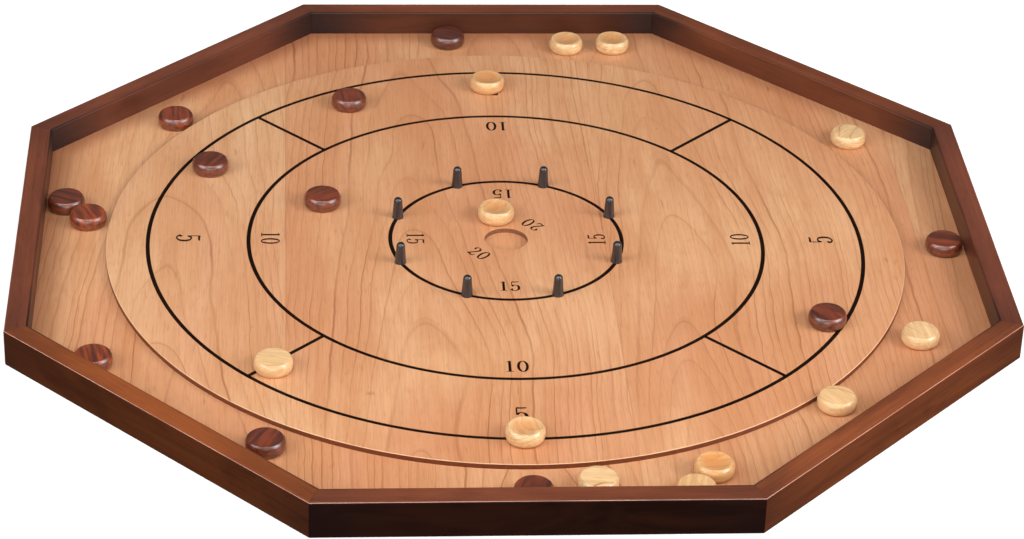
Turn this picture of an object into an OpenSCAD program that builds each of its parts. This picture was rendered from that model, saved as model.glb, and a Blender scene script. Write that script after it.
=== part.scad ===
// Eight-sided crokinole board with its ring of pegs and two sets of playing stones.
// The origin is at the middle of the underside, +Z is up and one flat side faces -Y.
// All lengths are in millimetres.

/* [Board] */
// Width across two opposite flat sides
across_flats = 827; // [820:1:860]
// Height of the rails
rail_h = 32; // [30:0.5:40]
// Thickness of the rails
rail_t = 19; // [16:0.5:20]
// Chamfer along the rails' long edges
rail_chamfer = 0.8; // [0.3:0.1:2]
// Thickness of the base panel
panel_t = 6.4; // [5:0.1:8]
// Height of the base panel's underside above the table
panel_lift = 3.4; // [2:0.1:6]
// How far the base panel reaches into the rails' grooves
tongue = 6; // [4:0.5:8]

/* [Playing surface] */
// Diameter of the round playing surface
disc_d = 680; // [672:1:680]
// Thickness of the playing surface
disc_t = 4.6; // [4:0.1:6]
// Radius of the centre hole
hole_r = 18.5; // [17:0.1:18.5]

/* [Pegs] */
// Number of pegs
peg_count = 8; // [4:1:8]
// Radius of the ring that the pegs stand on
peg_ring_r = 99; // [95:1:102]
// Height of a peg's sleeve above the playing surface
peg_h = 19.5; // [14:0.5:24]
// Radius of a sleeve at its flared foot
foot_r = 5; // [4.6:0.1:5.2]
// Radius of a sleeve where the flare ends
waist_r = 4.5; // [4.2:0.1:4.6]
// Radius of the dome on top
dome_r = 3.7; // [3.3:0.1:4]
// Radius of the steel stud inside
stud_r = 1.6; // [1.2:0.1:2]

/* [Stones] */
// Radius of a stone at the middle of its rounded side
stone_r = 15.9; // [15:0.1:16]
// Thickness of a stone
stone_h = 12; // [9:0.1:13]
// How far the rounded side draws in at the faces
side_draw = 2; // [1:0.1:3]
// Depth of the dished face
dish_depth = 0.6; // [0:0.1:1]
// Height of the crowned face
crown_h = 0.5; // [0.1:0.1:1]
// Gap that a stone slides on
slide_gap = 0.05; // [0.02:0.01:0.2]

/* [Hidden] */
$fn = 64;
sides = 8;
turn = 360 / sides;
flat = across_flats / 2;
to_corner = 1 / cos(turn / 2);
inner_flat = flat - rail_t;
groove_gap = 0.5;

floor_z = panel_lift + panel_t;
surface_z = floor_z + disc_t;

stud_sink = 4.5;
stud_rise = 13;
stud_fit = 0.02;
sleeve_socket = 0.1;
flare_h = 4.5;
peg_start = 22.5;

spline_t = 3;
spline_w = 12;
spline_h = 14;
spline_z = floor_z + 4;

RAIL_NAMES = ["right", "back_right", "back", "back_left", "left", "front_left", "front", "front_right"];
DISH = -1;
CROWN = 1;

// Each stone's place on the playing surface: x, y and which face is up.
dark_on_disc = [[-130, 240, CROWN], [-254, 121, CROWN], [-156, 59, CROWN], [257, -139, CROWN]];
light_on_disc = [[-2, 274, DISH], [-7, 34.5, DISH], [-3, -305, DISH], [-198, -203, CROWN]];
// Each stone's place in the ditch around it.
dark_in_ditch = [[-34, 373, CROWN], [-287, 214, CROWN], [-377, 64, CROWN], [-357, 37, CROWN],
                 [376, -14, CROWN], [-342, -188, CROWN], [-204, -310, CROWN], [-1, -378, CROWN]];
light_in_ditch = [[78, 361, DISH], [122, 362, DISH], [321, 177, CROWN], [331, -161, CROWN],
                  [248, -257, CROWN], [49, -366, CROWN], [140, -348, DISH], [123, -378, CROWN]];
dark_places = concat(dark_on_disc, dark_in_ditch);
light_places = concat(light_on_disc, light_in_ditch);

// A flat octagon with its sides facing X, Y and the diagonals.
module octagon(half_width) {
    rotate(turn / 2) circle(r = half_width * to_corner, $fn = sides);
}

// Puts a child at every peg's place.
module at_pegs() {
    for (i = [0:peg_count - 1]) at_peg(i) children();
}

module at_peg(i) {
    rotate(peg_start + i * 360 / peg_count) translate([peg_ring_r, 0, 0]) children();
}

module base_panel() {
    color("burlywood") difference() {
        translate([0, 0, panel_lift])
            linear_extrude(panel_t) octagon(inner_flat + tongue - groove_gap);
        at_pegs() translate([0, 0, floor_z - stud_sink])
            cylinder(r = stud_r + stud_fit, h = stud_sink + 1);
    }
}

module playing_surface() {
    color("tan") translate([0, 0, floor_z]) difference() {
        cylinder(d = disc_d, h = disc_t);
        translate([0, 0, -1]) cylinder(r = hole_r, h = disc_t + 2);
        at_pegs() translate([0, 0, -1]) cylinder(r = stud_r + stud_fit, h = disc_t + 2);
    }
}

// Section of a rail: x runs outwards from the inner face, y is the height.
module rail_section() {
    c = rail_chamfer;
    difference() {
        polygon([[0, c / 2], [c / 2, 0], [rail_t - c, 0], [rail_t, c],
                 [rail_t, rail_h - c], [rail_t - c, rail_h], [c, rail_h], [0, rail_h - c]]);
        translate([-1, panel_lift]) square([tongue + 1, panel_t]);
    }
}

// One rail, mitred at both ends and slotted for the two corner splines.
module rail(side) {
    run = flat * to_corner;
    color("saddlebrown") rotate(side * turn) difference() {
        intersection() {
            translate([inner_flat, run / 2, 0]) rotate([90, 0, 0]) linear_extrude(run) rail_section();
            linear_extrude(rail_h) polygon([[0, 0], [run, -run * tan(turn / 2)], [run, run * tan(turn / 2)]]);
        }
        for (end = [-1, 1]) rotate(end * turn / 2) spline_block();
    }
}

// A spline stands in the middle of a mitre, half of it in each rail.
module spline_block() {
    middle = (flat - rail_t / 2) * to_corner;
    translate([middle - spline_t / 2, -spline_w / 2, spline_z]) cube([spline_t, spline_w, spline_h]);
}

module corner_spline(corner) {
    color("wheat") rotate((corner + 0.5) * turn) spline_block();
}

// Outline of a peg's sleeve from its foot to the start of the dome.
function flare(t) = waist_r + (foot_r - waist_r) * pow(1 - t, 2);

module peg_sleeve(i) {
    shoulder_z = peg_h - dome_r;
    steps = 6;
    color("black") at_peg(i) translate([0, 0, surface_z]) difference() {
        rotate_extrude() union() {
            polygon(concat([[0, 0]],
                           [for (k = [0:steps]) [flare(k / steps), flare_h * k / steps]],
                           [[dome_r, shoulder_z], [0, shoulder_z]]));
            intersection() {
                translate([0, shoulder_z]) circle(r = dome_r);
                translate([0, shoulder_z]) square(dome_r);
            }
        }
        translate([0, 0, -1]) cylinder(r = stud_r + stud_fit, h = stud_rise + sleeve_socket + 1);
    }
}

// A plain steel pin with a short cone at each end.
module peg_stud(i) {
    length = stud_sink + disc_t + stud_rise;
    tip = 0.6;
    color("silver") at_peg(i) translate([0, 0, floor_z - stud_sink]) rotate_extrude()
        polygon([[0, 0], [stud_r - tip / 2, 0], [stud_r, tip],
                 [stud_r, length - tip], [stud_r - tip / 2, length], [0, length]]);
}

// Half outline of a stone: a full rounded side, one face crowned and the other dished.
function side_r(t) = stone_r - side_draw * pow(abs(2 * t - 1), 3);

module stone_section(steps = 10) {
    face_h = stone_h - crown_h;
    face_r = side_r(0);
    dish_r = face_r - 2.5;
    rings = 4;
    polygon(concat(
        [for (k = [0:rings]) [dish_r * k / rings, dish_depth * (1 - pow(k / rings, 2))]],
        [for (k = [0:steps]) [side_r(k / steps), face_h * k / steps]],
        [for (k = [rings - 1:-1:0]) [face_r * k / rings, face_h + crown_h * (1 - pow(k / rings, 2))]]));
}

module stone(place, rest_z) {
    flip = place[2] == DISH ? 1 : 0;
    translate([place[0], place[1], rest_z + slide_gap + flip * stone_h])
        rotate([flip * 180, 0, 0]) rotate_extrude() stone_section();
}

// The first places in each list are on the playing surface and the rest are in the ditch.
function rest_z(i, on_disc) = i < len(on_disc) ? surface_z : floor_z;

module dark_stone(i) {
    color("maroon") stone(dark_places[i], rest_z(i, dark_on_disc));
}

module light_stone(i) {
    color("khaki") stone(light_places[i], rest_z(i, light_on_disc));
}

base_panel();
playing_surface();
for (i = [0:sides - 1]) {
    rail(i);
    corner_spline(i);
}
for (i = [0:peg_count - 1]) {
    peg_sleeve(i);
    peg_stud(i);
}
for (i = [0:len(dark_places) - 1])
    dark_stone(i);
for (i = [0:len(light_places) - 1])
    light_stone(i);
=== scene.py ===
import math

import bpy
import numpy as np
from mathutils import Matrix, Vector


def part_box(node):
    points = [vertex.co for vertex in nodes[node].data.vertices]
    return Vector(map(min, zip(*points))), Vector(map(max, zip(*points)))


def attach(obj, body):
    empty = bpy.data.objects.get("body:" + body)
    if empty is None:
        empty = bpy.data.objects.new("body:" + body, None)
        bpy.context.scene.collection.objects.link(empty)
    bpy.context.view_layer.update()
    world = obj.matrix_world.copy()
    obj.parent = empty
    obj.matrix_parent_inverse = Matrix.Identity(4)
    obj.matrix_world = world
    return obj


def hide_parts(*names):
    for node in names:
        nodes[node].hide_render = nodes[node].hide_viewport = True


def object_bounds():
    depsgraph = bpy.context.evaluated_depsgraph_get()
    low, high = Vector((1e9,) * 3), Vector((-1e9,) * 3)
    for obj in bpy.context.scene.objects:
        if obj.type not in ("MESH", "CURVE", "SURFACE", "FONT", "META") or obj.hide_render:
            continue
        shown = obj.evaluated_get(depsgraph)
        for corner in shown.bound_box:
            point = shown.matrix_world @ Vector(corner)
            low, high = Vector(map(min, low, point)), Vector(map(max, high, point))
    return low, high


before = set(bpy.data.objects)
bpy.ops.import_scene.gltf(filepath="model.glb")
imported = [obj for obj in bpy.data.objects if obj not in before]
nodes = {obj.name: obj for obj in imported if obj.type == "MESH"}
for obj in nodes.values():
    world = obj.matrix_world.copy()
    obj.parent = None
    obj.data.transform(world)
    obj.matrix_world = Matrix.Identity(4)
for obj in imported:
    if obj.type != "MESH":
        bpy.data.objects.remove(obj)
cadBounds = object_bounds()
scene = bpy.context.scene
print("stage: frame loaded,", len(nodes), "CAD nodes")

millimetre = 0.001
sides = 8  # of the octagon; there are as many pegs and corner splines
eighth = math.pi / 4  # the turn from one side of the octagon to the next
halfEighth = eighth / 2


def linearColour(red, green, blue):
    # screen colour 0 to 255 turned into linear light, with alpha 1
    screen = np.array([red, green, blue]) / 255
    linear = np.where(screen <= 0.04045, screen / 12.92, ((screen + 0.055) / 1.055) ** 2.4)
    return (*linear.tolist(), 1.0)


def gridFaces(rows, columns, wrapRows=False, wrapColumns=False):
    # quads of a rows x columns grid of points, joined round where it wraps
    i = np.arange(rows if wrapRows else rows - 1)[:, None]
    j = np.arange(columns if wrapColumns else columns - 1)[None, :]
    row, nextRow = i * columns, (i + 1) % rows * columns
    nextJ = (j + 1) % columns
    return np.stack([row + j, row + nextJ, nextRow + nextJ, nextRow + j], -1).reshape(-1, 4)


def facesOutward(points, faces):
    # a closed shell whose signed volume is negative is inside out, so its faces are turned round
    volume = 0.0
    for group in faces:
        corner = points[group]
        for k in range(1, group.shape[1] - 1):
            volume += np.einsum("ij,ij->i", corner[:, 0], np.cross(corner[:, k], corner[:, k + 1])).sum()
    return faces if volume > 0 else [group[:, ::-1] for group in faces]


def makePiece(name, points, faces, finish, body, stands=(), flatFaces=0):
    # one finished object at the origin; the last flatFaces faces keep hard edges
    faces = facesOutward(points, faces)
    mesh = bpy.data.meshes.new(name)
    mesh.from_pydata(points.tolist(), [], [face for group in faces for face in group.tolist()])
    smooth = np.ones(len(mesh.polygons), bool)
    if flatFaces:
        smooth[-flatFaces:] = False
    mesh.polygons.foreach_set("use_smooth", smooth)
    mesh.materials.append(finish)
    mesh.update()
    piece = bpy.data.objects.new(name, mesh)
    scene.collection.objects.link(piece)
    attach(piece, body)
    if stands:
        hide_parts(*stands)
    return piece


def dressNode(nodeName, finish):
    # a CAD node keeps its shape and gets this finish
    nodes[nodeName].data.materials.clear()
    nodes[nodeName].data.materials.append(finish)


def roundCorners(outline, radius, steps=5, guard=0.3):
    # each corner of a closed outline becomes an arc, with a guard point on the flat just outside it
    outline = np.asarray(outline, float)
    before, after = np.roll(outline, 1, 0), np.roll(outline, -1, 0)
    rounded = []
    for corner, a, b, r in zip(outline, before, after, np.broadcast_to(radius, len(outline))):
        toA, toB = (a - corner) / np.linalg.norm(a - corner), (b - corner) / np.linalg.norm(b - corner)
        half = math.acos(np.clip(toA @ toB, -1, 1)) / 2
        reach = r / math.tan(half)
        middle = corner + (toA + toB) / np.linalg.norm(toA + toB) * r / math.sin(half)
        first, last = corner + toA * reach - middle, corner + toB * reach - middle
        sweep = np.linspace(0, 1, steps)[:, None]
        arc = first * (1 - sweep) + last * sweep
        arc *= r / np.linalg.norm(arc, axis=1)[:, None]
        rounded += [corner + toA * (reach + guard), *(middle + arc), corner + toB * (reach + guard)]
    return np.array(rounded)


def turnedPoints(profile, centre, segments):
    # profile of (radius, height) carried round a vertical axis: x = r cos a, y = r sin a
    angle = np.arange(segments) * 2 * math.pi / segments
    radius, height = profile[:, 0][:, None], profile[:, 1][:, None]
    ring = np.stack([radius * np.cos(angle), radius * np.sin(angle), height + 0 * angle], -1)
    return (ring + np.array([centre[0], centre[1], 0])).reshape(-1, 3)


def turnedShell(profile, centre, segments):
    # a lathe shape whose profile starts and ends on the axis: rings between, a fan at each pole
    inner = profile[1:-1]
    points = turnedPoints(inner, centre, segments)
    poles = np.array([[centre[0], centre[1], profile[0, 1]], [centre[0], centre[1], profile[-1, 1]]])
    count = len(points)
    around = np.arange(segments)
    onward = (around + 1) % segments
    last = (len(inner) - 1) * segments
    firstFan = np.stack([np.full(segments, count), onward, around], -1)
    lastFan = np.stack([np.full(segments, count + 1), last + around, last + onward], -1)
    return np.vstack([points, poles]), [gridFaces(len(inner), segments, wrapColumns=True), firstFan, lastFan]


# Camera

cameraLook = {"place": (-0.1835, -2.4155, 1.4431), "turn": 4.486, "dip": 31.06, "roll": 2.05,
              "lens": 115.6, "sensor": 36}


def makeCamera(look):
    # forward is level turn then dip; right and up are turned about it by the roll
    turn, dip, roll = (math.radians(look[key]) for key in ("turn", "dip", "roll"))
    forward = np.array([math.sin(turn) * math.cos(dip), math.cos(turn) * math.cos(dip), -math.sin(dip)])
    level = np.array([math.cos(turn), -math.sin(turn), 0])
    above = np.cross(level, forward)
    right = level * math.cos(roll) + above * math.sin(roll)
    up = above * math.cos(roll) - level * math.sin(roll)
    data = bpy.data.cameras.new("boardCamera")
    data.lens = look["lens"]
    data.sensor_width = look["sensor"]
    camera = bpy.data.objects.new("boardCamera", data)
    matrix = Matrix(np.column_stack([right, up, -forward]).tolist()).to_4x4()
    matrix.translation = look["place"]
    camera.matrix_world = matrix
    scene.collection.objects.link(camera)
    scene.camera = camera


makeCamera(cameraLook)
print("stage: camera")


# Node helpers

def addNode(tree, kind, inputs=None, **settings):
    # one shader node, with its settings, and its inputs fed by name or number
    node = tree.nodes.new("ShaderNode" + kind)
    for key, value in settings.items():
        setattr(node, key, value)
    for key, value in (inputs or {}).items():
        feed(tree, node.inputs[key], value)
    return node


def feed(tree, socket, value):
    # a link where the value is another socket, otherwise a plain value on the socket itself
    if isinstance(value, bpy.types.NodeSocket):
        tree.links.new(value, socket)
    else:
        socket.default_value = value


def sums(tree, operation, *values):
    # one Math node
    return addNode(tree, "Math", dict(enumerate(values)), operation=operation).outputs[0]


def scaled(tree, vector, factors):
    # vector x factors, axis by axis
    return addNode(tree, "VectorMath", {0: vector, 1: factors}, operation="MULTIPLY").outputs[0]


def shifted(tree, vector, offset):
    # vector + offset
    return addNode(tree, "VectorMath", {0: vector, 1: offset}, operation="ADD").outputs[0]


def objectPlace(tree):
    # a point's place in the board's own frame, in metres
    return addNode(tree, "TexCoord").outputs["Object"]


def noise(tree, vector, scale, detail=2.0, roughness=0.5, distortion=0.0):
    # a cloud pattern, 0 to 1; scale is how fine it is along x, y and z
    inputs = {"Vector": scaled(tree, vector, scale), "Scale": 1.0, "Detail": detail, "Roughness": roughness,
              "Distortion": distortion}
    return addNode(tree, "TexNoise", inputs).outputs["Fac"]


def lottery(tree, number):
    # one even draw, 0 to 1, for each whole number
    return addNode(tree, "TexWhiteNoise", {"W": number}, noise_dimensions="1D").outputs[0]


def sway(tree, wave, amount, base):
    # base + (wave - 1/2) x amount
    return sums(tree, "MULTIPLY_ADD", sums(tree, "SUBTRACT", wave, 0.5), amount, base)


def spread(tree, value, low, high, newLow=0.0, newHigh=1.0):
    # eased from newLow where the value is low to newHigh where it is high
    inputs = {"Value": value, "From Min": low, "From Max": high, "To Min": newLow, "To Max": newHigh}
    return addNode(tree, "MapRange", inputs, interpolation_type="SMOOTHSTEP").outputs[0]


def mixed(tree, factor, first, second, blend="MIX"):
    # the second colour over the first, by the factor
    node = addNode(tree, "Mix", {0: factor, 6: first, 7: second}, data_type="RGBA", blend_type=blend)
    return node.outputs[2]


def glaze(tree, colour, mask, strength, tint):
    # the tint laid over the colour by mask x strength
    return mixed(tree, sums(tree, "MULTIPLY", mask, strength), colour, tint)


def newFinish(name, constants):
    # a Principled finish; a value that is the same all over sits on its own socket
    finish = bpy.data.materials.new(name)
    finish.use_nodes = True
    tree = finish.node_tree
    shader = tree.nodes["Principled BSDF"]
    for key, value in constants.items():
        shader.inputs[key].default_value = value
    return finish, tree, shader


def finishSurface(tree, shader, colour, roughness, height, strength, distance):
    # colour, roughness and a fine bump; distance is the height of the bump in metres
    feed(tree, shader.inputs["Base Color"], colour)
    feed(tree, shader.inputs["Roughness"], roughness)
    bump = addNode(tree, "Bump", {"Height": height, "Strength": strength, "Distance": distance})
    tree.links.new(bump.outputs[0], shader.inputs["Normal"])


polishLook = {"roughness": 0.34, "fibreRoughness": 0.16, "fibreRise": 0.6, "bump": 0.1, "bumpDepth": 0.0001}


def polishWood(tree, shader, colour, fibre, pore):
    # open grain under a thin finish: fibres stand up a little and pores sink
    roughness = sums(tree, "MULTIPLY_ADD", fibre, polishLook["fibreRoughness"], polishLook["roughness"])
    height = sums(tree, "SUBTRACT", sums(tree, "MULTIPLY", fibre, polishLook["fibreRise"]), pore)
    finishSurface(tree, shader, colour, roughness, height, polishLook["bump"], polishLook["bumpDepth"])


grainLook = {"unevenScale": 0.3, "unevenBy": 2.5, "lineAt": 0.94, "leastSlope": 0.15, "lineCore": 0.2,
             "faintest": 0.35, "bandPower": 3.0, "bandDepth": 0.25, "poreEdge": 0.1}


def woodGrain(tree, place, look):
    # grain runs along Y; growth rings are circles round an axis that leans out of the face, so the face
    # cuts them in long arches, and each ring has its own spacing and strength; fibres, pores and streaks
    # are noise drawn out along Y
    x, y, z = addNode(tree, "SeparateXYZ", {0: place}).outputs
    bend = noise(tree, place, look["bend"], 1.0, 0.4)
    ripple = noise(tree, place, look["ripple"], 2.0, 0.6)
    swell = noise(tree, place, look["swell"], 1.0, 0.4)
    across = sway(tree, ripple, look["rippleBy"], sway(tree, bend, look["bendBy"], x))
    depth = sums(tree, "ADD", sums(tree, "MULTIPLY_ADD", y, look["lean"], look["heartDepth"]), z)
    depth = sway(tree, swell, look["swellBy"], depth)
    squares = [sums(tree, "MULTIPLY", side, side) for side in (across, depth)]
    reach = sums(tree, "SQRT", sums(tree, "ADD", *squares))
    years = sums(tree, "DIVIDE", reach, look["ringWidth"])
    wander = {"W": years, "Scale": grainLook["unevenScale"], "Detail": 1.0}
    uneven = addNode(tree, "TexNoise", wander, noise_dimensions="1D").outputs[0]
    years = sums(tree, "MULTIPLY_ADD", uneven, grainLook["unevenBy"], years)
    season = sums(tree, "FRACT", years)
    # distance along the face from a ring's dark line: the distance across the rings, over their slope
    slope = sums(tree, "DIVIDE", sums(tree, "ABSOLUTE", across), reach)
    slope = sums(tree, "MAXIMUM", slope, grainLook["leastSlope"])
    fromLine = sums(tree, "ABSOLUTE", sums(tree, "SUBTRACT", season, grainLook["lineAt"]))
    fromLine = sums(tree, "MULTIPLY", sums(tree, "DIVIDE", fromLine, slope), look["ringWidth"])
    strength = spread(tree, lottery(tree, sums(tree, "FLOOR", years)), 0.0, 1.0, grainLook["faintest"], 1.0)
    core = look["lineHalf"] * grainLook["lineCore"]
    lateWood = sums(tree, "MULTIPLY", spread(tree, fromLine, core, look["lineHalf"], 1.0, 0.0), strength)
    band = sums(tree, "MULTIPLY", sums(tree, "POWER", season, grainLook["bandPower"]), grainLook["bandDepth"])
    ring = sums(tree, "MAXIMUM", lateWood, band)
    patch = spread(tree, noise(tree, place, look["patch"], 1.0, 0.5), 0.35, 0.65, 0.4, 1.0)
    fibre = noise(tree, place, look["fibre"], 4.0, 0.7)
    pore = noise(tree, place, look["pore"], 1.0, 0.5)
    pore = spread(tree, pore, look["poreFrom"], look["poreFrom"] + grainLook["poreEdge"])
    streak = spread(tree, noise(tree, place, look["streak"], 3.0, 0.55), 0.3, 0.7)
    return sums(tree, "MULTIPLY", ring, patch), fibre, pore, streak


# Veneer of the base panel and the playing surface

veneerLook = {
    "bend": (5.0, 2.6, 5.0), "bendBy": 0.045, "ripple": (22, 16, 22), "rippleBy": 0.007,
    "swell": (8, 5, 8), "swellBy": 0.02, "lean": 0.06, "heartDepth": 0.05, "ringWidth": 0.006,
    "lineHalf": 0.001, "patch": (12, 7, 12), "fibre": (720, 14, 720), "pore": (900, 60, 900),
    "poreFrom": 0.6, "streak": (44, 3.0, 44), "fleck": (120, 22, 120), "blush": (7, 3, 7),
    "figure": (34, 15, 34), "gum": (30, 16, 30), "mottle": (300, 300, 500),
    "streakDepth": 0.5, "figureDepth": 0.35, "ringDepth": 0.58, "ringDepthMore": 0.2, "fibreDepth": 0.16,
    "poreDepth": 0.2, "fleckDepth": 0.45, "gumDepth": 0.3, "seamDepth": 0.3,
    "leafWidth": 0.272, "firstSeam": -0.188, "seam": (0.0002, 0.0007), "heartWander": 0.7,
    "logAlong": 0.6, "logDeep": 0.03, "backLeft": (-0.3, 0.4), "boreZone": (0.03, 0.04),
    "rimGlintFrom": 0.0006, "rimGlintTo": 0.0003, "railShadeReach": 0.026, "railShadeDepth": 0.55,
    "edgeFrom": 0.0007, "edgeTo": 0.0004,
    "pale": linearColour(224, 172, 128), "rose": linearColour(211, 148, 108),
    "warm": linearColour(200, 136, 90), "line": linearColour(150, 84, 46),
    # the pale second colour on the next line paints a highlight on the rounded outer edge
    "fleckRed": linearColour(140, 70, 40), "rimHighlight": linearColour(248, 208, 172),
    "edge": linearColour(116, 60, 30), "char": linearColour(80, 42, 24),
    "bore": linearColour(132, 86, 60), "boreDark": linearColour(104, 70, 52),
    # the colour on the next line paints shade along the rails
    "railShade": linearColour(136, 72, 44)}
# how much paler each leaf is than the middle one, by red, green and blue: lift both ways, fade to the right;
# the third sets the painted highlight on the rounded outer edge, and start picks the leaves' draws
surfaceTone = {"lift": (0.03, 0.09, 0.12), "fade": (0.025, 0.07, 0.1), "rimHighlight": 0.5, "start": 11.0}
panelTone = {"lift": (0.0, 0.0, 0.0), "fade": (0.03, 0.03, 0.03), "rimHighlight": 0.0, "start": 3.0}


def veneerLeaves(tree, x, y, look, start):
    # which leaf a point is on, that leaf's draw, and the point's place on the leaf's own part of the log
    leaf = sums(tree, "DIVIDE", sums(tree, "SUBTRACT", x, look["firstSeam"]), look["leafWidth"])
    leaf = sums(tree, "FLOOR", leaf)
    chance = lottery(tree, sums(tree, "ADD", leaf, start))
    middle = look["firstSeam"] + look["leafWidth"] / 2
    heart = sums(tree, "MULTIPLY_ADD", leaf, look["leafWidth"], middle)
    heart = sway(tree, chance, look["leafWidth"] * look["heartWander"], heart)
    place = {0: sums(tree, "SUBTRACT", x, heart), 1: sums(tree, "MULTIPLY_ADD", chance, look["logAlong"], y),
             2: sums(tree, "MULTIPLY", chance, look["logDeep"])}
    return leaf, chance, addNode(tree, "CombineXYZ", place).outputs[0]


def leafTint(tree, leaf, leafTone):
    # each channel is 1 + lift x leaf squared - fade x leaf
    squared = sums(tree, "MULTIPLY", leaf, leaf)
    channels = [sums(tree, "MULTIPLY_ADD", leaf, -fade, sums(tree, "MULTIPLY_ADD", squared, lift, 1.0))
                for lift, fade in zip(leafTone["lift"], leafTone["fade"])]
    return addNode(tree, "CombineColor", dict(enumerate(channels))).outputs[0]


def veneerFinish(name, look, leafTone, topHeight):
    # leaves of veneer side by side, each with its own part of the log and its own tone
    constants = {"Specular IOR Level": 0.35, "Coat Weight": 0.1, "Coat Roughness": 0.3}
    finish, tree, shader = newFinish(name, constants)
    place = objectPlace(tree)
    x, y, z = addNode(tree, "SeparateXYZ", {0: place}).outputs
    leaf, chance, local = veneerLeaves(tree, x, y, look, leafTone["start"])
    ring, fibre, pore, streak = woodGrain(tree, local, look)
    blush = spread(tree, noise(tree, local, look["blush"]), 0.35, 0.65)
    colour = mixed(tree, blush, look["pale"], look["rose"])
    colour = glaze(tree, colour, streak, look["streakDepth"], look["warm"])
    figure = noise(tree, local, look["figure"], 3.0, 0.6, 0.8)
    colour = mixed(tree, spread(tree, figure, 0.4, 0.7, 0.0, look["figureDepth"]), colour, look["warm"])
    ringDepth = sums(tree, "MULTIPLY_ADD", chance, look["ringDepthMore"], look["ringDepth"])
    colour = glaze(tree, colour, ring, ringDepth, look["line"])
    colour = mixed(tree, spread(tree, fibre, 0.4, 0.62, 0.0, look["fibreDepth"]), colour, look["line"])
    colour = glaze(tree, colour, pore, look["poreDepth"], look["line"])
    fleck = noise(tree, local, look["fleck"], 2.0, 0.5, 0.6)
    colour = mixed(tree, spread(tree, fleck, 0.72, 0.8, 0.0, look["fleckDepth"]), colour, look["fleckRed"])
    gum = noise(tree, local, look["gum"], 3.0, 0.6, 1.4)
    colour = mixed(tree, spread(tree, gum, 0.68, 0.78, 0.0, look["gumDepth"]), colour, look["fleckRed"])
    fromSeam = sums(tree, "PINGPONG", sums(tree, "SUBTRACT", x, look["firstSeam"]), look["leafWidth"] / 2)
    colour = mixed(tree, spread(tree, fromSeam, *look["seam"], look["seamDepth"], 0.0), colour, look["line"])
    colour = mixed(tree, 1.0, colour, leafTint(tree, leaf, leafTone), "MULTIPLY")
    flat = scaled(tree, place, (1, 1, 0))
    fromAxis = addNode(tree, "VectorMath", {0: flat}, operation="LENGTH").outputs["Value"]
    # painted highlight along the rounded outer edge of the playing surface
    rimGlint = spread(tree, fromAxis, surfaceRadius - look["rimGlintFrom"], surfaceRadius - look["rimGlintTo"],
                    0.0, leafTone["rimHighlight"])
    colour = mixed(tree, rimGlint, colour, look["rimHighlight"])
    # painted shade along the rails, most of all at the back left
    paintedShade = spread(tree, railDistance(tree, x, y), 0.0, look["railShadeReach"], look["railShadeDepth"], 0.0)
    backLeft = spread(tree, sums(tree, "SUBTRACT", y, x), *look["backLeft"])
    colour = glaze(tree, colour, paintedShade, backLeft, look["railShade"])
    mottle = spread(tree, noise(tree, place, look["mottle"]), 0.35, 0.7, 0.0, 0.5)
    sawn = mixed(tree, mottle, look["edge"], look["char"])
    boreWall = mixed(tree, mottle, look["bore"], look["boreDark"])
    sawn = mixed(tree, spread(tree, fromAxis, *look["boreZone"], 1.0, 0.0), sawn, boreWall)
    below = spread(tree, z, topHeight - look["edgeFrom"], topHeight - look["edgeTo"], 1.0, 0.0)
    colour = mixed(tree, below, colour, sawn)
    polishWood(tree, shader, colour, fibre, pore)
    return finish


def railDistance(tree, x, y):
    # distance in from the rails: the flat's distance less the largest of |x|, |y| and (|x| + |y|) / root 2
    right, ahead = sums(tree, "ABSOLUTE", x), sums(tree, "ABSOLUTE", y)
    slant = sums(tree, "MULTIPLY", sums(tree, "ADD", right, ahead), math.sqrt(0.5))
    furthest = sums(tree, "MAXIMUM", sums(tree, "MAXIMUM", right, ahead), slant)
    return sums(tree, "SUBTRACT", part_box("rail_right")[0].x, furthest)


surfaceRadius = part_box("playing_surface")[1].x
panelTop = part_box("base_panel")[1].z
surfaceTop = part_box("playing_surface")[1].z
panelFinish = veneerFinish("panelVeneer", veneerLook, panelTone, panelTop)
surfaceFinish = veneerFinish("playingVeneer", veneerLook, surfaceTone, surfaceTop)
dressNode("base_panel", panelFinish)
print("stage: veneer")


# Playing surface: a thin disc with a hole, its edges softened

surfaceLook = {"holeRadius": 18.5, "edgeRound": 0.5, "holeRound": 0.3, "footRound": 0.1, "segments": 360}


def makePlayingSurface(look, finish):
    # a rectangle from hole to rim with rounded corners, carried once round the middle
    low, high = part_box("playing_surface")
    outer, hole = high.x / millimetre, look["holeRadius"]
    bottom, top = low.z / millimetre, high.z / millimetre
    rounds = [look["footRound"], look["footRound"], look["edgeRound"], look["holeRound"]]
    outline = roundCorners([[hole, bottom], [outer, bottom], [outer, top], [hole, top]], rounds)
    points = turnedPoints(outline * millimetre, (0, 0), look["segments"])
    faces = [gridFaces(len(outline), look["segments"], wrapRows=True, wrapColumns=True)]
    return makePiece("playingSurface", points, faces, finish, "board",
                     ["playing_surface"])


makePlayingSurface(surfaceLook, surfaceFinish)
print("stage: playing surface")


# Printed circles, lines and numbers: films of ink on the playing surface

inkLook = {"circles": {"five": 304.8, "ten": 219.6, "fifteen": 99.0}, "lineWidth": 3.5, "film": 0.03,
           "turn": math.radians(-0.75), "segments": 360, "lineInset": 1.0, "patch": (90, 30, 90),
           "streak": (900, 30, 900), "wear": 0.6, "colour": linearColour(22, 7, 2),
           "wearAndHighlight": linearColour(48, 22, 12)}


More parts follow.
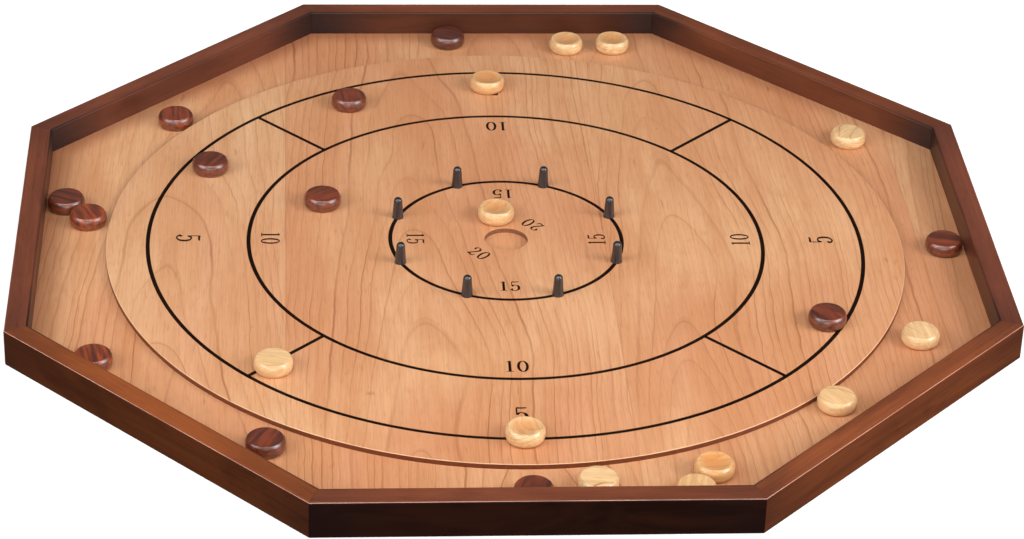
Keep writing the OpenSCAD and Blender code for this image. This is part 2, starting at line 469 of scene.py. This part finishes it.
def inkFinish(look):
    # near black, worn a little paler where patches and streaks meet
    finish, tree, shader = newFinish("printedInk", {"Specular IOR Level": 0.1})
    place = objectPlace(tree)
    patch = noise(tree, place, look["patch"], 3.0, 0.6)
    streak = noise(tree, place, look["streak"], 2.0, 0.6)
    wear = spread(tree, sums(tree, "MULTIPLY", patch, streak), 0.2, 0.5, 0.0, look["wear"])
    colour = mixed(tree, wear, look["colour"], look["wearAndHighlight"])
    finishSurface(tree, shader, colour, sums(tree, "MULTIPLY_ADD", streak, 0.2, 0.42), streak, 0.1, 0.00005)
    return finish


def ribbonShell(path, halfWidth, bottom, top, closed=False):
    # a flat strip: the section is four corners, half a width to each side, carried along a level path
    path = np.asarray(path, float)
    if closed:
        along = np.roll(path, -1, 0) - np.roll(path, 1, 0)
    else:
        along = np.gradient(path, axis=0)
    along /= np.linalg.norm(along, axis=1)[:, None]
    side = np.stack([along[:, 1], -along[:, 0]], -1) * np.broadcast_to(halfWidth, len(path))[:, None]
    left, right = path - side, path + side
    corners = [np.column_stack([edge, np.full(len(path), height)])
               for edge, height in ((left, bottom), (right, bottom), (right, top), (left, top))]
    points = np.stack(corners, 1).reshape(-1, 3)
    faces = [gridFaces(len(path), 4, wrapRows=closed, wrapColumns=True)]
    if not closed:
        end = 4 * (len(path) - 1)
        faces.append(np.array([[0, 1, 2, 3], [end + 3, end + 2, end + 1, end]]))
    return points, facesOutward(points, faces)


def joinShells(shells):
    # several closed shells as one piece's points and faces
    starts = np.cumsum([0] + [len(points) for points, _ in shells[:-1]])
    faces = [group + start for (_, groups), start in zip(shells, starts) for group in groups]
    return np.vstack([points for points, _ in shells]), faces


def makeInkPiece(name, shells, finish):
    # closed films as one piece with hard edges
    points, faces = joinShells(shells)
    count = sum(len(group) for group in faces)
    return makePiece(name, points, faces, finish, "board", flatFaces=count)


def circlePath(radius, count):
    # a level circle: x = r cos a, y = r sin a
    angle = np.linspace(0, 2 * math.pi, count, endpoint=False)
    return np.stack([radius * np.cos(angle), radius * np.sin(angle)], -1)


ink = inkFinish(inkLook)
filmTop = surfaceTop + inkLook["film"] * millimetre
halfLine = inkLook["lineWidth"] / 2 * millimetre
for ringName, ringRadius in inkLook["circles"].items():
    ring = circlePath(ringRadius * millimetre, inkLook["segments"])
    shell = ribbonShell(ring, halfLine, surfaceTop, filmTop, closed=True)
    makeInkPiece("printedCircle." + ringName, [shell], ink)
for quarter in range(4):
    heading = math.pi / 4 + quarter * math.pi / 2 + inkLook["turn"]
    nearEnd = inkLook["circles"]["ten"] + inkLook["lineInset"]
    farEnd = inkLook["circles"]["five"] - inkLook["lineInset"]
    line = np.outer(np.linspace(nearEnd, farEnd, 3) * millimetre, [math.cos(heading), math.sin(heading)])
    shell = ribbonShell(line, halfLine, surfaceTop, filmTop)
    makeInkPiece(f"quarterLine.{quarter + 1}", [shell], ink)
print("stage: printed circles and lines")


# Numbers. A figure is one unit high; upright strokes are thick and level ones thin, as with a broad pen

numberLook = {
    "thick": 0.14, "thin": 0.06, "gap": 0.18, "layerStep": 0.004,
    "rows": {"5": (20.5, 270.7), "10": (16.0, 201.0), "15": (15.0, 77.5)},  # height and radius
    "twenty": (13.5, 34.0)}


def penStroke(path, look):
    # half width grows from thin to thick with how upright the stroke runs
    along = np.gradient(path, axis=0)
    upright = np.abs(along[:, 1]) / np.maximum(np.hypot(along[:, 0], along[:, 1]), 1e-9)
    return path, (look["thin"] + (look["thick"] - look["thin"]) * upright ** 2.2) / 2


def smoothPath(points, count=48):
    # one smooth curve through a few points: between each two a cubic that keeps their tangents
    points = np.asarray(points, float)
    span = np.concatenate([[0], np.cumsum(np.linalg.norm(np.diff(points, axis=0), axis=1))])
    tangents = np.gradient(points, span, axis=0)
    where = np.linspace(0, span[-1], count)
    k = np.clip(np.searchsorted(span, where, side="right") - 1, 0, len(points) - 2)
    width = (span[k + 1] - span[k])[:, None]
    t = (where - span[k])[:, None] / width
    return ((2 * t ** 3 - 3 * t ** 2 + 1) * points[k] + (t ** 3 - 2 * t ** 2 + t) * width * tangents[k]
            + (3 * t ** 2 - 2 * t ** 3) * points[k + 1] + (t ** 3 - t ** 2) * width * tangents[k + 1])


def dot(x, y, radius):
    # a round ball: the half width of a strip across it follows a circle
    along = np.linspace(-1, 1, 25)
    path = np.stack([x + radius * along, np.full(len(along), y)], -1)
    return path, radius * np.sqrt(np.maximum(1 - along ** 2, 0.0004))


def bar(x0, x1, y, half):
    # a level stroke of one width
    return np.array([[x0, y], [(x0 + x1) / 2, y], [x1, y]]), np.full(3, half)


def post(x, y0, y1, half):
    # an upright stroke of one width
    return np.array([[x, y0], [x, (y0 + y1) / 2], [x, y1]]), np.full(3, half)


def figureOne(look):
    # a post on a foot bar, with a small flag
    flag = smoothPath([[-0.18, 0.39], [-0.09, 0.42], [-0.01, 0.49]], 12)
    return 0.38, [post(0.0, -0.48, 0.49, look["thick"] / 2), bar(-0.19, 0.19, -0.478, 0.022),
                  (flag, np.linspace(0.012, 0.03, 12))]


def figureZero(look):
    # an ellipse: x = 0.225 cos a, y = 0.475 sin a
    angle = np.linspace(0, 2 * math.pi, 73)
    path = np.stack([0.225 * np.cos(angle), 0.475 * np.sin(angle)], -1)
    return 0.58, [(path, penStroke(path, look)[1])]


def figureTwo(look):
    # a hook, a wavy foot and a ball
    hook = smoothPath([[-0.19, 0.24], [-0.17, 0.39], [0.0, 0.48], [0.18, 0.38], [0.18, 0.17],
                       [0.02, -0.10], [-0.22, -0.43]], 60)
    foot = smoothPath([[-0.24, -0.43], [-0.08, -0.40], [0.10, -0.46], [0.22, -0.38], [0.26, -0.24]], 30)
    footHalf = np.concatenate([np.linspace(0.03, 0.055, 18), np.linspace(0.055, 0.015, 12)])
    return 0.60, [penStroke(hook, look), (foot, footHalf), dot(-0.16, 0.24, 0.062)]


def figureFive(look):
    # a bowl, an upright, a flag and a ball
    bowl = smoothPath([[-0.185, -0.02], [-0.06, 0.12], [0.10, 0.09], [0.20, -0.15], [0.12, -0.40],
                       [-0.06, -0.485], [-0.20, -0.40], [-0.22, -0.30]], 60)
    flag = smoothPath([[-0.18, 0.455], [-0.02, 0.445], [0.12, 0.45], [0.20, 0.47]], 16)
    return 0.56, [penStroke(bowl, look), post(-0.185, -0.03, 0.47, 0.028),
                  (flag, np.linspace(0.05, 0.038, 16)), dot(-0.175, -0.30, 0.058)]


figures = {"0": figureZero, "1": figureOne, "2": figureTwo, "5": figureFive}


def makeNumber(name, text, look, height, heading, radius, finish):
    # figures side by side, turned so that their tops point to the middle of the board; strokes that
    # cross end at slightly different heights
    drawn = [figures[character](look) for character in text]
    widths = [width for width, _ in drawn]
    total = sum(widths) + look["gap"] * (len(drawn) - 1)
    heading += inkLook["turn"]
    up = -np.array([math.cos(heading), math.sin(heading)])
    right = np.array([up[1], -up[0]])
    origin = -up * radius
    pen = -total / 2
    shells = []
    for width, strokes in drawn:
        middle = pen + width / 2
        pen += width + look["gap"]
        for layer, (path, half) in enumerate(strokes):
            placed = origin + height * ((path[:, :1] + middle) * right + path[:, 1:] * up)
            top = filmTop + layer * look["layerStep"] * millimetre
            shells.append(ribbonShell(placed * millimetre, half * height * millimetre, surfaceTop, top))
    return makeInkPiece(name, shells, finish)


sideHeadings = {"right": 0.0, "back": math.pi / 2, "left": math.pi, "front": -math.pi / 2}
for sideName, sideHeading in sideHeadings.items():
    for text, (height, radius) in numberLook["rows"].items():
        makeNumber(f"number{text}.{sideName}", text, numberLook, height, sideHeading, radius, ink)
height, radius = numberLook["twenty"]
for place, heading in (("frontLeft", -3 * math.pi / 4), ("backRight", math.pi / 4)):
    makeNumber(f"number20.{place}", "20", numberLook, height, heading, radius, ink)
print("stage: numbers")


# Rails: stained lengths with softened edges, mitred at the corners

railLook = {
    "names": ["right", "back_right", "back", "back_left", "left", "front_left", "front", "front_right"],
    "warmth": [0.0, 0.3, 0.3, 0.05, 0.1, 0.7, 0.2, 0.45],
    # painted shade on each rail's outer and inner faces, by how little light falls on them
    "outerShade": [0.3, 0.4, 0.5, 0.4, 0.38, 0.7, 0.99, 0.28],
    "innerShade": [0.35, 0.3, 0.66, 0.35, 0.45, 0.1, 0.1, 0.1],
    "allDark": [0.08, 0.05, 0.0, 0.0, 0.03, 0.02, 0.15, 0.08],
    "topRound": 1.6, "innerTopShare": 0.7, "footRound": 0.8, "innerFootRound": 0.2, "grooveRound": 0.1,
    "roundGuard": 0.15, "mitreGap": 0.1, "endGuard": 0.2, "groove": (6.0, 3.4, 9.8),
    "bend": (4.0, 1.5, 4.0), "bendBy": 0.012, "ripple": (30, 9, 30), "rippleBy": 0.002,
    "swell": (20, 5, 20), "swellBy": 0.004, "lean": 0.02, "cloud": (26, 9, 26), "highlightBreakup": (60, 25, 60),
    "heartDepth": 0.05, "ringWidth": 0.0045, "lineHalf": 0.0007, "patch": (12, 5, 12),
    "fibre": (620, 8, 620), "pore": (560, 36, 560), "poreFrom": 0.6, "streak": (60, 3.5, 60),
    "streakDepth": 0.36, "cloudDepth": 0.3, "ringDepth": 0.35, "fibreDepth": 0.2, "poreDepth": 0.25,
    "logAcross": 0.13, "logAlong": 1.7,
    "topShine": 0.35, "outerShineLoss": 0.23, "outerLeast": 0.93,
    "mitreReach": 0.075, "mitreDepth": 0.88, "mitreWander": 0.02, "outsideMitre": 0.35,
    "outerFrom": 0.0012, "outerTo": 0.0004, "innerFrom": 0.0178, "innerTo": 0.017,
    "arrisFrom": 0.00075, "arrisTo": 0.0005,
    # the palest colour paints a highlight on the outer top edge; the near black one is both a darker stain
    # and painted shade on the outer and inner faces; the last paints shade towards the mitres
    "stain": linearColour(132, 72, 51), "deep": linearColour(62, 27, 18),
    "amber": linearColour(164, 86, 32), "wearAndHighlight": linearColour(226, 168, 148),
    "darkStainAndShade": linearColour(28, 9, 4), "corner": linearColour(24, 15, 18)}
outerFace = cadBounds[1].x
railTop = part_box("rail_front")[1].z


def railFinish(look, turn):
    # one rail's stain: its own warmth, painted shade on the outer and inner faces and towards the mitres,
    # and a painted highlight along the outer top edge
    constants = {"Coat Weight": 0.1, "Coat Roughness": 0.25}
    finish, tree, shader = newFinish("railStainWithPaintedLight." + look["names"][turn], constants)
    turned = {"Vector": objectPlace(tree), "Rotation": (0, 0, -turn * eighth)}
    place = addNode(tree, "Mapping", turned).outputs[0]
    x, y, z = addNode(tree, "SeparateXYZ", {0: place}).outputs
    local = shifted(tree, place, (look["logAcross"] * turn, look["logAlong"] * turn, 0.0))
    ring, fibre, pore, streak = woodGrain(tree, local, look)
    colour = mixed(tree, look["warmth"][turn], look["stain"], look["amber"])
    colour = mixed(tree, look["allDark"][turn], colour, look["darkStainAndShade"])
    colour = glaze(tree, colour, streak, look["streakDepth"], look["deep"])
    cloud = noise(tree, local, look["cloud"], 3.0, 0.6, 0.8)
    colour = mixed(tree, spread(tree, cloud, 0.42, 0.7, 0.0, look["cloudDepth"]), colour, look["deep"])
    colour = glaze(tree, colour, ring, look["ringDepth"], look["deep"])
    colour = mixed(tree, spread(tree, fibre, 0.35, 0.7, 0.0, look["fibreDepth"]), colour, look["deep"])
    colour = glaze(tree, colour, pore, look["poreDepth"], look["deep"])
    onOuter = spread(tree, x, outerFace - look["outerFrom"], outerFace - look["outerTo"])
    shine = sums(tree, "MULTIPLY_ADD", onOuter, -look["outerShineLoss"], look["topShine"])
    feed(tree, shader.inputs["Specular IOR Level"], shine)
    # painted shade: the outer face darker by how little light falls on it, most on the front rail
    outerShade = look["outerShade"][turn]
    uneven = spread(tree, cloud, 0.38, 0.62, look["outerLeast"] * outerShade, outerShade)
    colour = glaze(tree, colour, onOuter, uneven, look["darkStainAndShade"])
    # painted shade on the inner face
    onInner = spread(tree, x, outerFace - look["innerFrom"], outerFace - look["innerTo"], 1.0, 0.0)
    colour = glaze(tree, colour, onInner, look["innerShade"][turn], look["darkStainAndShade"])
    # painted shade towards each mitre, most on the inner faces where the rails meet in a corner
    fromMitre = sums(tree, "MULTIPLY", x, math.tan(halfEighth))
    fromMitre = sums(tree, "SUBTRACT", fromMitre, sums(tree, "ABSOLUTE", y))
    fromMitre = sway(tree, streak, look["mitreWander"], fromMitre)
    paintedShade = spread(tree, fromMitre, 0.0, look["mitreReach"], look["mitreDepth"], 0.0)
    share = sums(tree, "MULTIPLY_ADD", onInner, 1 - look["outsideMitre"], look["outsideMitre"])
    colour = glaze(tree, colour, paintedShade, share, look["corner"])
    # painted highlight along the rounded outer top edge, broken up by a noise
    highlightBreakup = spread(tree, noise(tree, place, look["highlightBreakup"]), 0.3, 0.6, 0.5, 0.95)
    nearEdge = spread(tree, x, outerFace - look["arrisFrom"], outerFace - look["arrisTo"])
    nearTop = spread(tree, z, railTop - look["arrisFrom"], railTop - look["arrisTo"])
    colour = glaze(tree, colour, sums(tree, "MULTIPLY", nearEdge, nearTop), highlightBreakup, look["wearAndHighlight"])
    polishWood(tree, shader, colour, fibre, pore)
    return finish


def makeRail(look, turn):
    # the rail's section carried from mitre to mitre: a point's length grows with its distance from the
    # middle; a row just inside each mitre keeps the long faces' shading flat
    name = "rail_" + look["names"][turn]
    outer = outerFace / millimetre
    inner = outer - (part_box("rail_right")[1].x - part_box("rail_right")[0].x) / millimetre
    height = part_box(name)[1].z / millimetre
    depth, low, high = look["groove"]
    outline = [[inner, 0], [outer, 0], [outer, height], [inner, height], [inner, high],
               [inner + depth, high], [inner + depth, low], [inner, low]]
    rounds = [look["innerFootRound"], look["footRound"], look["topRound"],
              look["topRound"] * look["innerTopShare"], *[look["grooveRound"]] * 4]
    section = roundCorners(outline, rounds, guard=look["roundGuard"]) * millimetre
    reach = section[:, 0]
    angle = turn * eighth
    rows = []
    for end, inset in ((-1, 0), (-1, look["endGuard"]), (1, look["endGuard"]), (1, 0)):
        along = end * (reach * math.tan(halfEighth) - (look["mitreGap"] + inset) * millimetre)
        rows.append(np.stack([reach * math.cos(angle) - along * math.sin(angle),
                              reach * math.sin(angle) + along * math.cos(angle), section[:, 1]], -1))
    points = np.vstack(rows)
    count = len(section)
    firstCap, lastCap = np.arange(count)[None, ::-1], 3 * count + np.arange(count)[None, :]
    faces = [gridFaces(4, count, wrapColumns=True), firstCap, lastCap]
    return makePiece("rail." + look["names"][turn], points, faces, railFinish(look, turn), "board",
                     [name], flatFaces=2)


for turn in range(sides):
    makeRail(railLook, turn)
print("stage: rails")


# Pegs: smooth domed sleeves with a flared foot

pegLook = {"foot": 5.0, "waist": 4.5, "dome": 3.7, "flareHeight": 4.5, "footEdge": 0.35,
           "footInset": 0.3, "footLip": (0.08, 0.1), "boreGap": 0.02, "boreSpare": 0.1, "segments": 64,
           "patch": (140, 140, 90), "grain": (2600, 2600, 2600), "dust": 0.55,
           "colour": linearColour(16, 13, 20), "dusty": linearColour(40, 36, 46)}


def pegFinish(look):
    # black rubber with a little dust
    constants = {"Specular IOR Level": 0.5, "Coat Weight": 1.0, "Coat Roughness": 0.16}
    finish, tree, shader = newFinish("sleeveRubber", constants)
    place = objectPlace(tree)
    patch = noise(tree, place, look["patch"], 4.0, 0.6)
    grain = noise(tree, place, look["grain"])
    colour = mixed(tree, spread(tree, patch, 0.35, 0.75, 0.0, look["dust"]), look["colour"], look["dusty"])
    finishSurface(tree, shader, colour, sums(tree, "MULTIPLY_ADD", patch, 0.2, 0.3), grain, 0.15, 0.00005)
    return finish


def makePeg(look, number, finish):
    # foot flare is a parabola, the body tapers to a hemisphere, and a blind bore takes the stud
    low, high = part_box(f"peg_sleeve_{number}")
    studLow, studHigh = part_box(f"peg_stud_{number}")
    centre = ((low.x + high.x) / 2, (low.y + high.y) / 2)
    bore = (studHigh.x - studLow.x) / 2 / millimetre + look["boreGap"]
    boreEnd = studHigh.z / millimetre + look["boreSpare"]
    base, tip = low.z / millimetre, high.z / millimetre
    rise = np.linspace(0, 1, 14)
    flare = np.stack([look["waist"] + (look["foot"] - look["waist"]) * (1 - rise) ** 2,
                      base + look["footEdge"] + (look["flareHeight"] - look["footEdge"]) * rise], -1)
    angle = np.linspace(0, math.pi / 2, 16)
    dome = np.stack([look["dome"] * np.cos(angle), tip - look["dome"] * (1 - np.sin(angle))], -1)
    dome[-1, 0] = 0
    lipIn, lipUp = look["footLip"]
    start = [[0, boreEnd], [bore, boreEnd], [bore, base],
             [look["foot"] - look["footInset"], base], [look["foot"] - lipIn, base + lipUp]]
    profile = np.vstack([start, flare, dome]) * millimetre
    points, faces = turnedShell(profile, centre, look["segments"])
    return makePiece(f"pegSleeve.{number}", points, faces, finish, "board",
                     [f"peg_sleeve_{number}"])


pegRubber = pegFinish(pegLook)
for number in range(1, sides + 1):
    makePeg(pegLook, number, pegRubber)
print("stage: pegs")


# Hidden pieces keep their CAD shape and get their own finishes

studLook = {"draw": (2500, 2500, 60), "bright": linearColour(176, 178, 182),
            "dull": linearColour(128, 130, 134)}
splineLook = {"layers": (60, 60, 900), "fibre": (500, 500, 25), "pale": linearColour(222, 190, 146),
              "brown": linearColour(186, 146, 100)}


def studFinish(look):
    # steel with fine draw marks along it
    finish, tree, shader = newFinish("plainSteel", {"Metallic": 1.0})
    draw = noise(tree, objectPlace(tree), look["draw"], 3.0, 0.6)
    colour = mixed(tree, draw, look["bright"], look["dull"])
    finishSurface(tree, shader, colour, sums(tree, "MULTIPLY_ADD", draw, 0.25, 0.25), draw, 0.2, 0.00003)
    return finish


def splineFinish(look):
    # pale plywood in level layers
    finish, tree, shader = newFinish("birchPly", {"Specular IOR Level": 0.3})
    place = objectPlace(tree)
    fibre = noise(tree, place, look["fibre"], 3.0, 0.6)
    colour = mixed(tree, noise(tree, place, look["layers"]), look["pale"], look["brown"])
    finishSurface(tree, shader, colour, sums(tree, "MULTIPLY_ADD", fibre, 0.2, 0.55), fibre, 0.3, 0.0001)
    return finish


plainSteel, birchPly = studFinish(studLook), splineFinish(splineLook)
for number in range(1, sides + 1):
    dressNode(f"peg_stud_{number}", plainSteel)
    dressNode(f"corner_spline_{number}", birchPly)
print("stage: studs and splines")


# Stones: turned discs with a full rounded side, one face crowned and the other dished

turnedGrain = {  # what the dark and the light wood share
    "bend": (20, 8, 20), "bendBy": 0.01, "ripple": (120, 40, 120), "rippleBy": 0.001,
    "swell": (60, 25, 60), "swellBy": 0.003, "lean": 0.1, "lineHalf": 0.0006,
    "poreDepth": 0.4, "dishShadeDepth": 0.5}
# for each wood, the colour laid over the dished face paints shade and warm bounced light into the dish
stoneLook = {
    "crownDraw": 2.0, "crownPower": 2.8, "dishDraw": 2.3, "dishPower": 2.8, "crown": 0.5, "dish": 1.7,
    "crownLip": 0.35, "dishLip": 0.5, "crownStep": 0.08, "segments": 96,
    "grainDraws": (0.05, 5.0, 0.02),  # how far each stone's wood may lie from the next in the log
    "dark": {
        "firstSeed": 101, **turnedGrain, "heartDepth": 0.012, "ringWidth": 0.0024, "patch": (60, 25, 60),
        "fibre": (1200, 45, 1200), "pore": (1200, 110, 1200), "poreFrom": 0.58, "streak": (300, 18, 300),
        "ringDepth": 0.8, "streakDepth": 0.8, "fibreDepth": 0.45, "coat": (0.85, 0.34, 1.75),
        "body": linearColour(176, 76, 32), "dusk": linearColour(88, 38, 26),
        "shade": linearColour(28, 12, 9), "dishShade": linearColour(60, 26, 18),
        "tones": [0.4, 0.4, 0.4, 0.45, 0.7, 0.2, 0.5, 0.0, 0.3, 0.0, 0.5, 0.4]},
    "light": {
        "firstSeed": 151, **turnedGrain, "heartDepth": 0.015, "ringWidth": 0.003, "patch": (50, 22, 50),
        "fibre": (1000, 40, 1000), "pore": (1100, 90, 1100), "poreFrom": 0.64, "streak": (240, 15, 240),
        "ringDepth": 1.0, "streakDepth": 0.3, "fibreDepth": 0.25, "coat": (0.8, 0.27, 1.5),
        "body": linearColour(243, 205, 152), "dusk": linearColour(224, 162, 94),
        "shade": linearColour(168, 102, 50), "dishShade": linearColour(206, 114, 38),
        "tones": [0.45, 0.2, 0.0, 0.1, 0.1, 0.1, 0.0, 0.0, 0.15, 0.0, 0.6, 0.3]}}


def stoneFinish(name, look):
    # the grain follows each stone's own turned coordinates, kept on its mesh as the attribute grainPlace;
    # woodTone is the stone's own tone, and a dish mask, 1 in the middle of the dished face, lays painted
    # shade there
    coat = dict(zip(("Coat Weight", "Coat Roughness", "Coat IOR"), look["coat"]))
    finish, tree, shader = newFinish(name, {"Specular IOR Level": 0.35, **coat})
    place = addNode(tree, "Attribute", attribute_name="grainPlace").outputs["Vector"]
    tone = addNode(tree, "Attribute", attribute_name="woodTone").outputs["Fac"]
    dishShade = addNode(tree, "Attribute", attribute_name="dishShade").outputs["Fac"]
    ring, fibre, pore, streak = woodGrain(tree, place, look)
    colour = mixed(tree, tone, look["body"], look["dusk"])
    colour = glaze(tree, colour, streak, look["streakDepth"], look["shade"])
    colour = glaze(tree, colour, ring, look["ringDepth"], look["shade"])
    colour = mixed(tree, spread(tree, fibre, 0.35, 0.7, 0.0, look["fibreDepth"]), colour, look["shade"])
    colour = glaze(tree, colour, pore, look["poreDepth"], look["shade"])
    # painted shade in the dish, with a warm cast of bounced light
    colour = glaze(tree, colour, dishShade, look["dishShadeDepth"], look["dishShade"])
    roughness = sums(tree, "MULTIPLY_ADD", fibre, 0.15, 0.3)
    finishSurface(tree, shader, colour, roughness, fibre, 0.06, 0.00005)
    return finish


def crownIsUp(nodeName):
    # on a crowned face the highest point is in the middle; on a dished one it is out on the rim
    vertices = nodes[nodeName].data.vertices
    points = np.empty(len(vertices) * 3)
    vertices.foreach_get("co", points)
    points = points.reshape(-1, 3)
    top = points[points[:, 2].argmax()]
    middle = (points.min(0) + points.max(0)) / 2
    return math.hypot(*(top - middle)[:2]) < millimetre


def stoneProfile(look, radius, height):
    # half outline from the dished face's middle, round the side, to the crowned face's middle; the side
    # draws in by a power of the distance from mid height, more towards the dished face; the last column
    # is the mask for the painted dish shade: 1 in the dish's middle and 0 from its rim on
    body = height - look["crown"]
    side = np.sin(np.linspace(-0.5, 0.5, 41) * math.pi)
    draw = np.where(side < 0, look["dishDraw"], look["crownDraw"])
    power = np.where(side < 0, look["dishPower"], look["crownPower"])
    wall = np.stack([radius - draw * np.abs(side) ** power, (side + 1) / 2 * body, 0 * side], -1)
    inward = np.linspace(0, 1, 11)
    dishRadius = radius - look["dishDraw"] - look["dishLip"]
    dish = np.stack([dishRadius * inward, look["dish"] * (1 - inward ** 2) ** 1.2, 1 - inward ** 3], -1)
    crownRadius = radius - look["crownDraw"] - look["crownLip"]
    outward = inward[::-1]
    rise = body + look["crownStep"] + (look["crown"] - look["crownStep"]) * (1 - outward ** 2)
    crown = np.stack([crownRadius * outward, rise, 0 * outward], -1)
    return np.vstack([dish, wall, crown])


def keepAttribute(piece, name, kind, field, values):
    # a value or a vector for each vertex, which the finish reads
    attribute = piece.data.attributes.new(name, kind, "POINT")
    attribute.data.foreach_set(field, values.astype(np.float32).ravel())


def makeStone(nodeName, finish, tone, seed):
    # a lathe shape in the CAD stone's box, with its grain turned and shifted by its own draws
    low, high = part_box(nodeName)
    radius, height = (high.x - low.x) / 2 / millimetre, (high.z - low.z) / millimetre
    centre = np.array([(low.x + high.x) / 2, (low.y + high.y) / 2])
    profile = stoneProfile(stoneLook, radius, height)
    if not crownIsUp(nodeName):
        profile = profile[::-1]
        profile[:, 1] = height - profile[:, 1]
    profile[:, 1] += low.z / millimetre
    points, faces = turnedShell(profile[:, :2] * millimetre, centre, stoneLook["segments"])
    name = nodeName.replace("_stone_", "Stone.")
    piece = makePiece(name, points, faces, finish, nodeName, [nodeName])
    chance = np.random.default_rng(seed).random(4)
    spin = chance[0] * math.pi
    local = points - np.array([centre[0], centre[1], low.z])
    turned = np.stack([local[:, 0] * math.cos(spin) - local[:, 1] * math.sin(spin),
                       local[:, 0] * math.sin(spin) + local[:, 1] * math.cos(spin), local[:, 2]], -1)
    grainPlace = turned + chance[1:] * np.array(stoneLook["grainDraws"])
    keepAttribute(piece, "grainPlace", "FLOAT_VECTOR", "vector", grainPlace)
    # the mask for the painted dish shade
    dishShade = np.concatenate([np.repeat(profile[1:-1, 2], stoneLook["segments"]), profile[[0, -1], 2]])
    keepAttribute(piece, "dishShade", "FLOAT", "value", dishShade)
    keepAttribute(piece, "woodTone", "FLOAT", "value", np.full(len(points), tone))
    return piece


for family in ("dark", "light"):
    wood = stoneLook[family]
    stoneWood = stoneFinish(family + "StoneWood", wood)
    for index, tone in enumerate(wood["tones"]):
        seed = wood["firstSeed"] + index
        makeStone(f"{family}_stone_{index + 1}", stoneWood, tone, seed)
print("stage: stones")


# Floor and studio light

studioLook = {
    "floorSize": 14.0, "floorDrop": 0.0005, "floorGlow": 0.65, "world": 0.1,
    "lights": {
        "overheadSoftbox": {"place": (-0.1, -0.85, 1.75), "size": (1.6, 1.0), "power": 21.5},
        "leftSoftbox": {"place": (-2.1, -1.05, 1.45), "size": (1.6, 1.4), "power": 37.0},
        "rightSoftbox": {"place": (2.1, -1.05, 1.35), "size": (1.6, 1.4), "power": 56.0},
        "frontSoftbox": {"place": (-0.4, -2.8, 0.85), "size": (2.4, 0.9), "power": 25.0},
        "backPanel": {"place": (-0.2, 2.3, 1.2), "size": (3.4, 1.3), "power": 0.4}}}


def makeFloor(look):
    # a square just under the board
    half = look["floorSize"] / 2
    mesh = bpy.data.meshes.new("studioFloor")
    corners = [(-half, -half), (half, -half), (half, half), (-half, half)]
    mesh.from_pydata([(x, y, -look["floorDrop"]) for x, y in corners], [], [(0, 1, 2, 3)])
    constants = {"Base Color": (0.6, 0.6, 0.6, 1), "Roughness": 0.9, "Specular IOR Level": 0.1,
                 "Emission Color": (1, 1, 1, 1), "Emission Strength": look["floorGlow"]}
    mesh.materials.append(newFinish("paleFloor", constants)[0])
    floor = bpy.data.objects.new("studioFloor", mesh)
    floor.visible_diffuse = False  # a white floor would light up the outer faces, whose shade is painted
    floor.visible_glossy = False
    scene.collection.objects.link(floor)


def makeSoftbox(name, place, size, power):
    # an oblong area light that faces the middle of the board
    data = bpy.data.lights.new(name, "AREA")
    data.shape = "RECTANGLE"
    data.size, data.size_y = size
    data.energy = power
    light = bpy.data.objects.new(name, data)
    away = np.array(place, float) / np.linalg.norm(place)
    right = np.cross([0, 1, 0] if abs(away[2]) > 0.95 else [0, 0, 1], away)
    right /= np.linalg.norm(right)
    matrix = Matrix(np.column_stack([right, np.cross(away, right), away]).tolist()).to_4x4()
    matrix.translation = place
    light.matrix_world = matrix
    light.visible_camera = False
    scene.collection.objects.link(light)


def makeWorld(look):
    # even white light from all round
    world = bpy.data.worlds.new("studioWorld")
    world.use_nodes = True
    background = world.node_tree.nodes["Background"]
    background.inputs["Color"].default_value = (1, 1, 1, 1)
    background.inputs["Strength"].default_value = look["world"]
    scene.world = world


makeFloor(studioLook)
makeWorld(studioLook)
for lightName, light in studioLook["lights"].items():
    makeSoftbox(lightName, light["place"], light["size"], light["power"])
scene.view_settings.view_transform = "Standard"
print("stage: studio")
